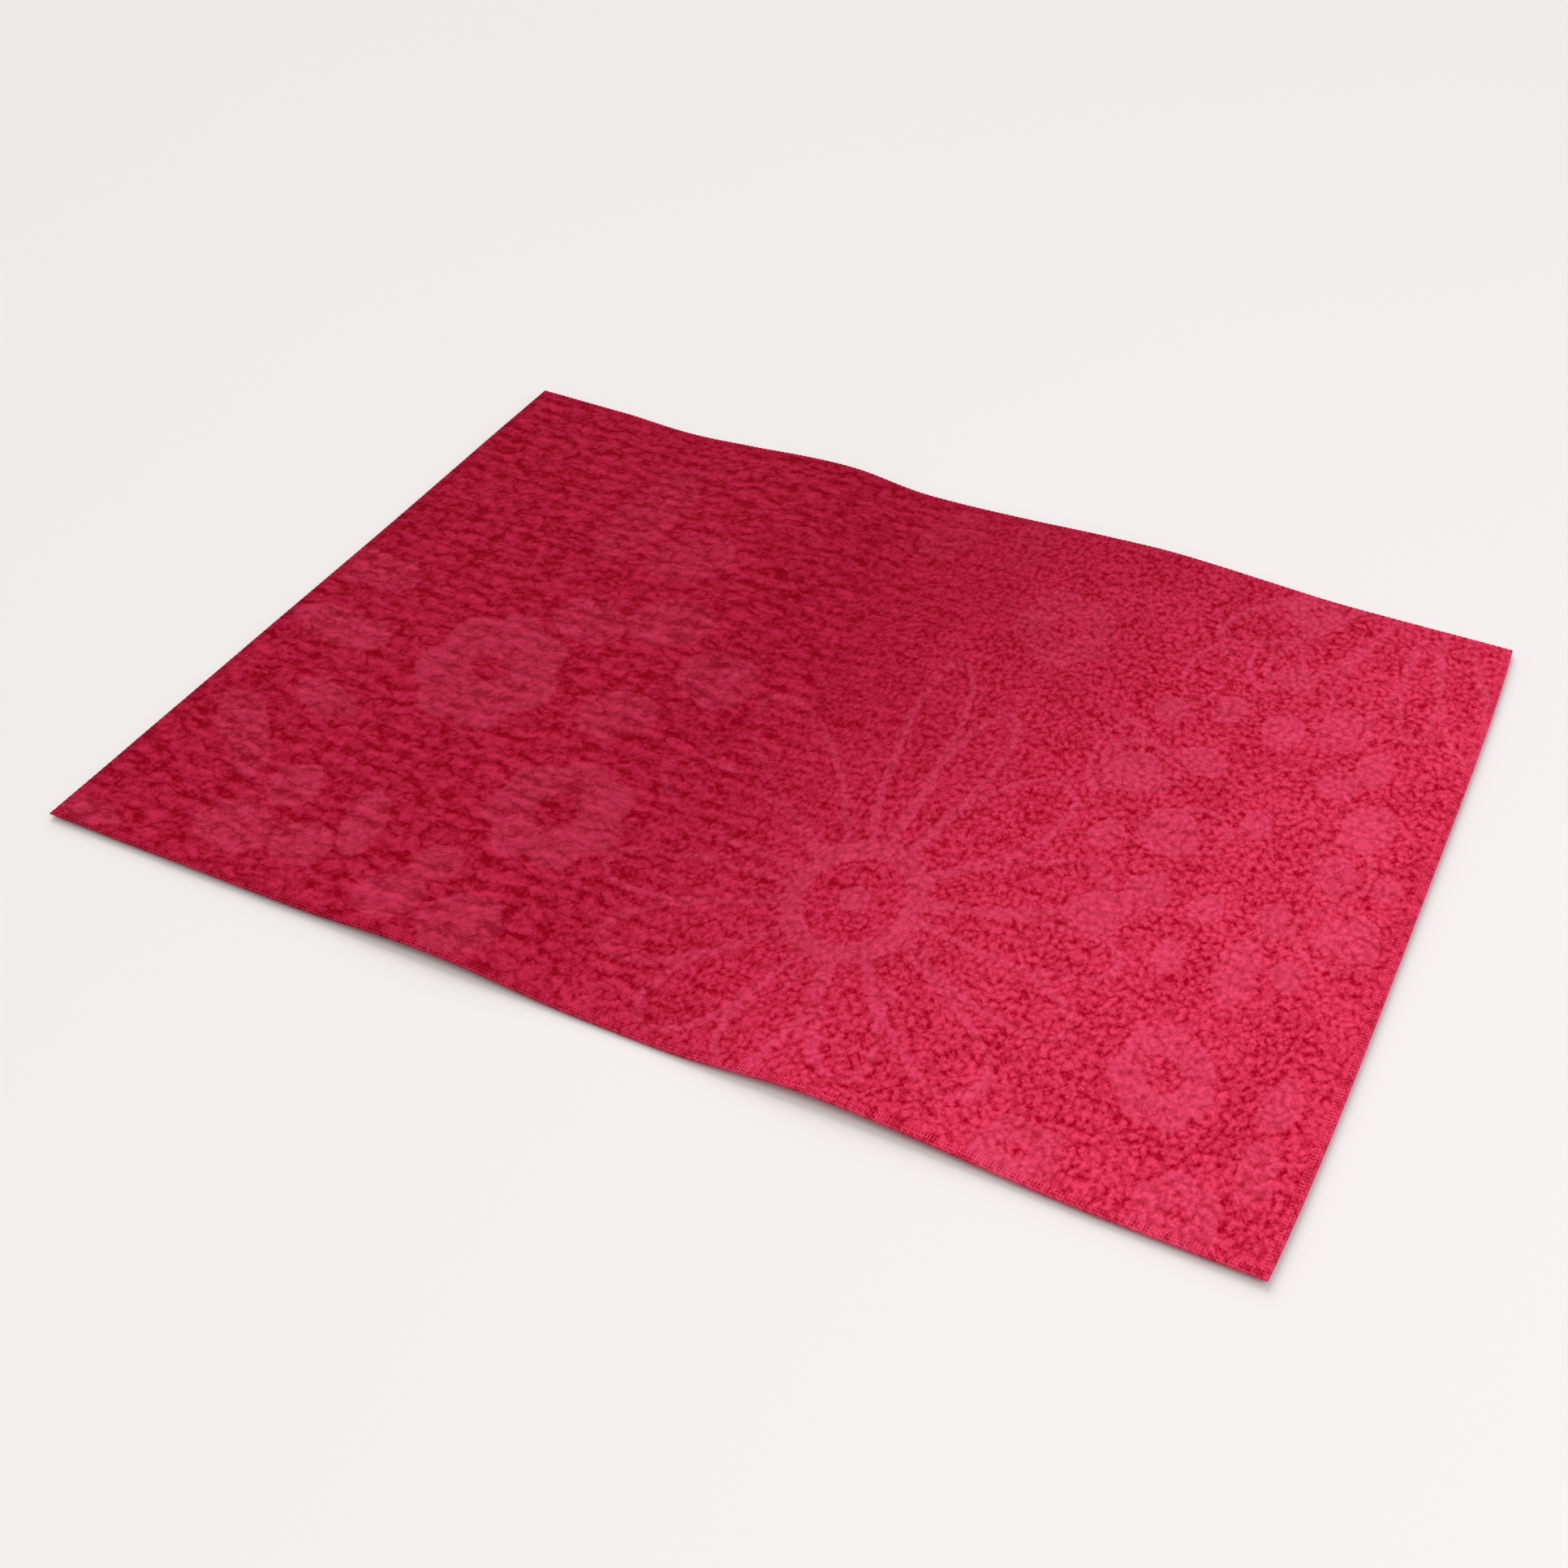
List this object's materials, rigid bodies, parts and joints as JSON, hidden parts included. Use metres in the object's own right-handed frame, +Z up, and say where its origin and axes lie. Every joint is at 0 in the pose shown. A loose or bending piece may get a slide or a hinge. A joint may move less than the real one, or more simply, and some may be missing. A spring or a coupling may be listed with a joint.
{
  "type": "fabric cut",
  "caption": "Flat rectangular cut of printed woven cotton cloth, lying loose in gentle folds, for quilting and sewing.",
  "frame": {"origin": "centre of the bounding box's base, on the surface that the cloth lies on", "axes": "+X along the long side, towards the right-hand cut side; +Y from the front edge to the back edge; +Z up, out of the printed face"},
  "size_m": [0.3067, 0.229, 0.004],
  "materials": {
    "printed_cotton": "matt printed plain weave, raspberry red with lighter pink flowers",
    "dyed_yarn": "matt spun cotton yarn, dyed through"
  },
  "bodies": {
    "root": {"woven_body": "printed_cotton", "weft_front_outer": "dyed_yarn", "weft_front_inner": "dyed_yarn", "weft_back_outer": "dyed_yarn", "weft_back_inner": "dyed_yarn", "warp_left_outer": "dyed_yarn", "warp_left_inner": "dyed_yarn", "warp_right_outer": "dyed_yarn", "warp_right_inner": "dyed_yarn"}
  },
  "joints": []
}
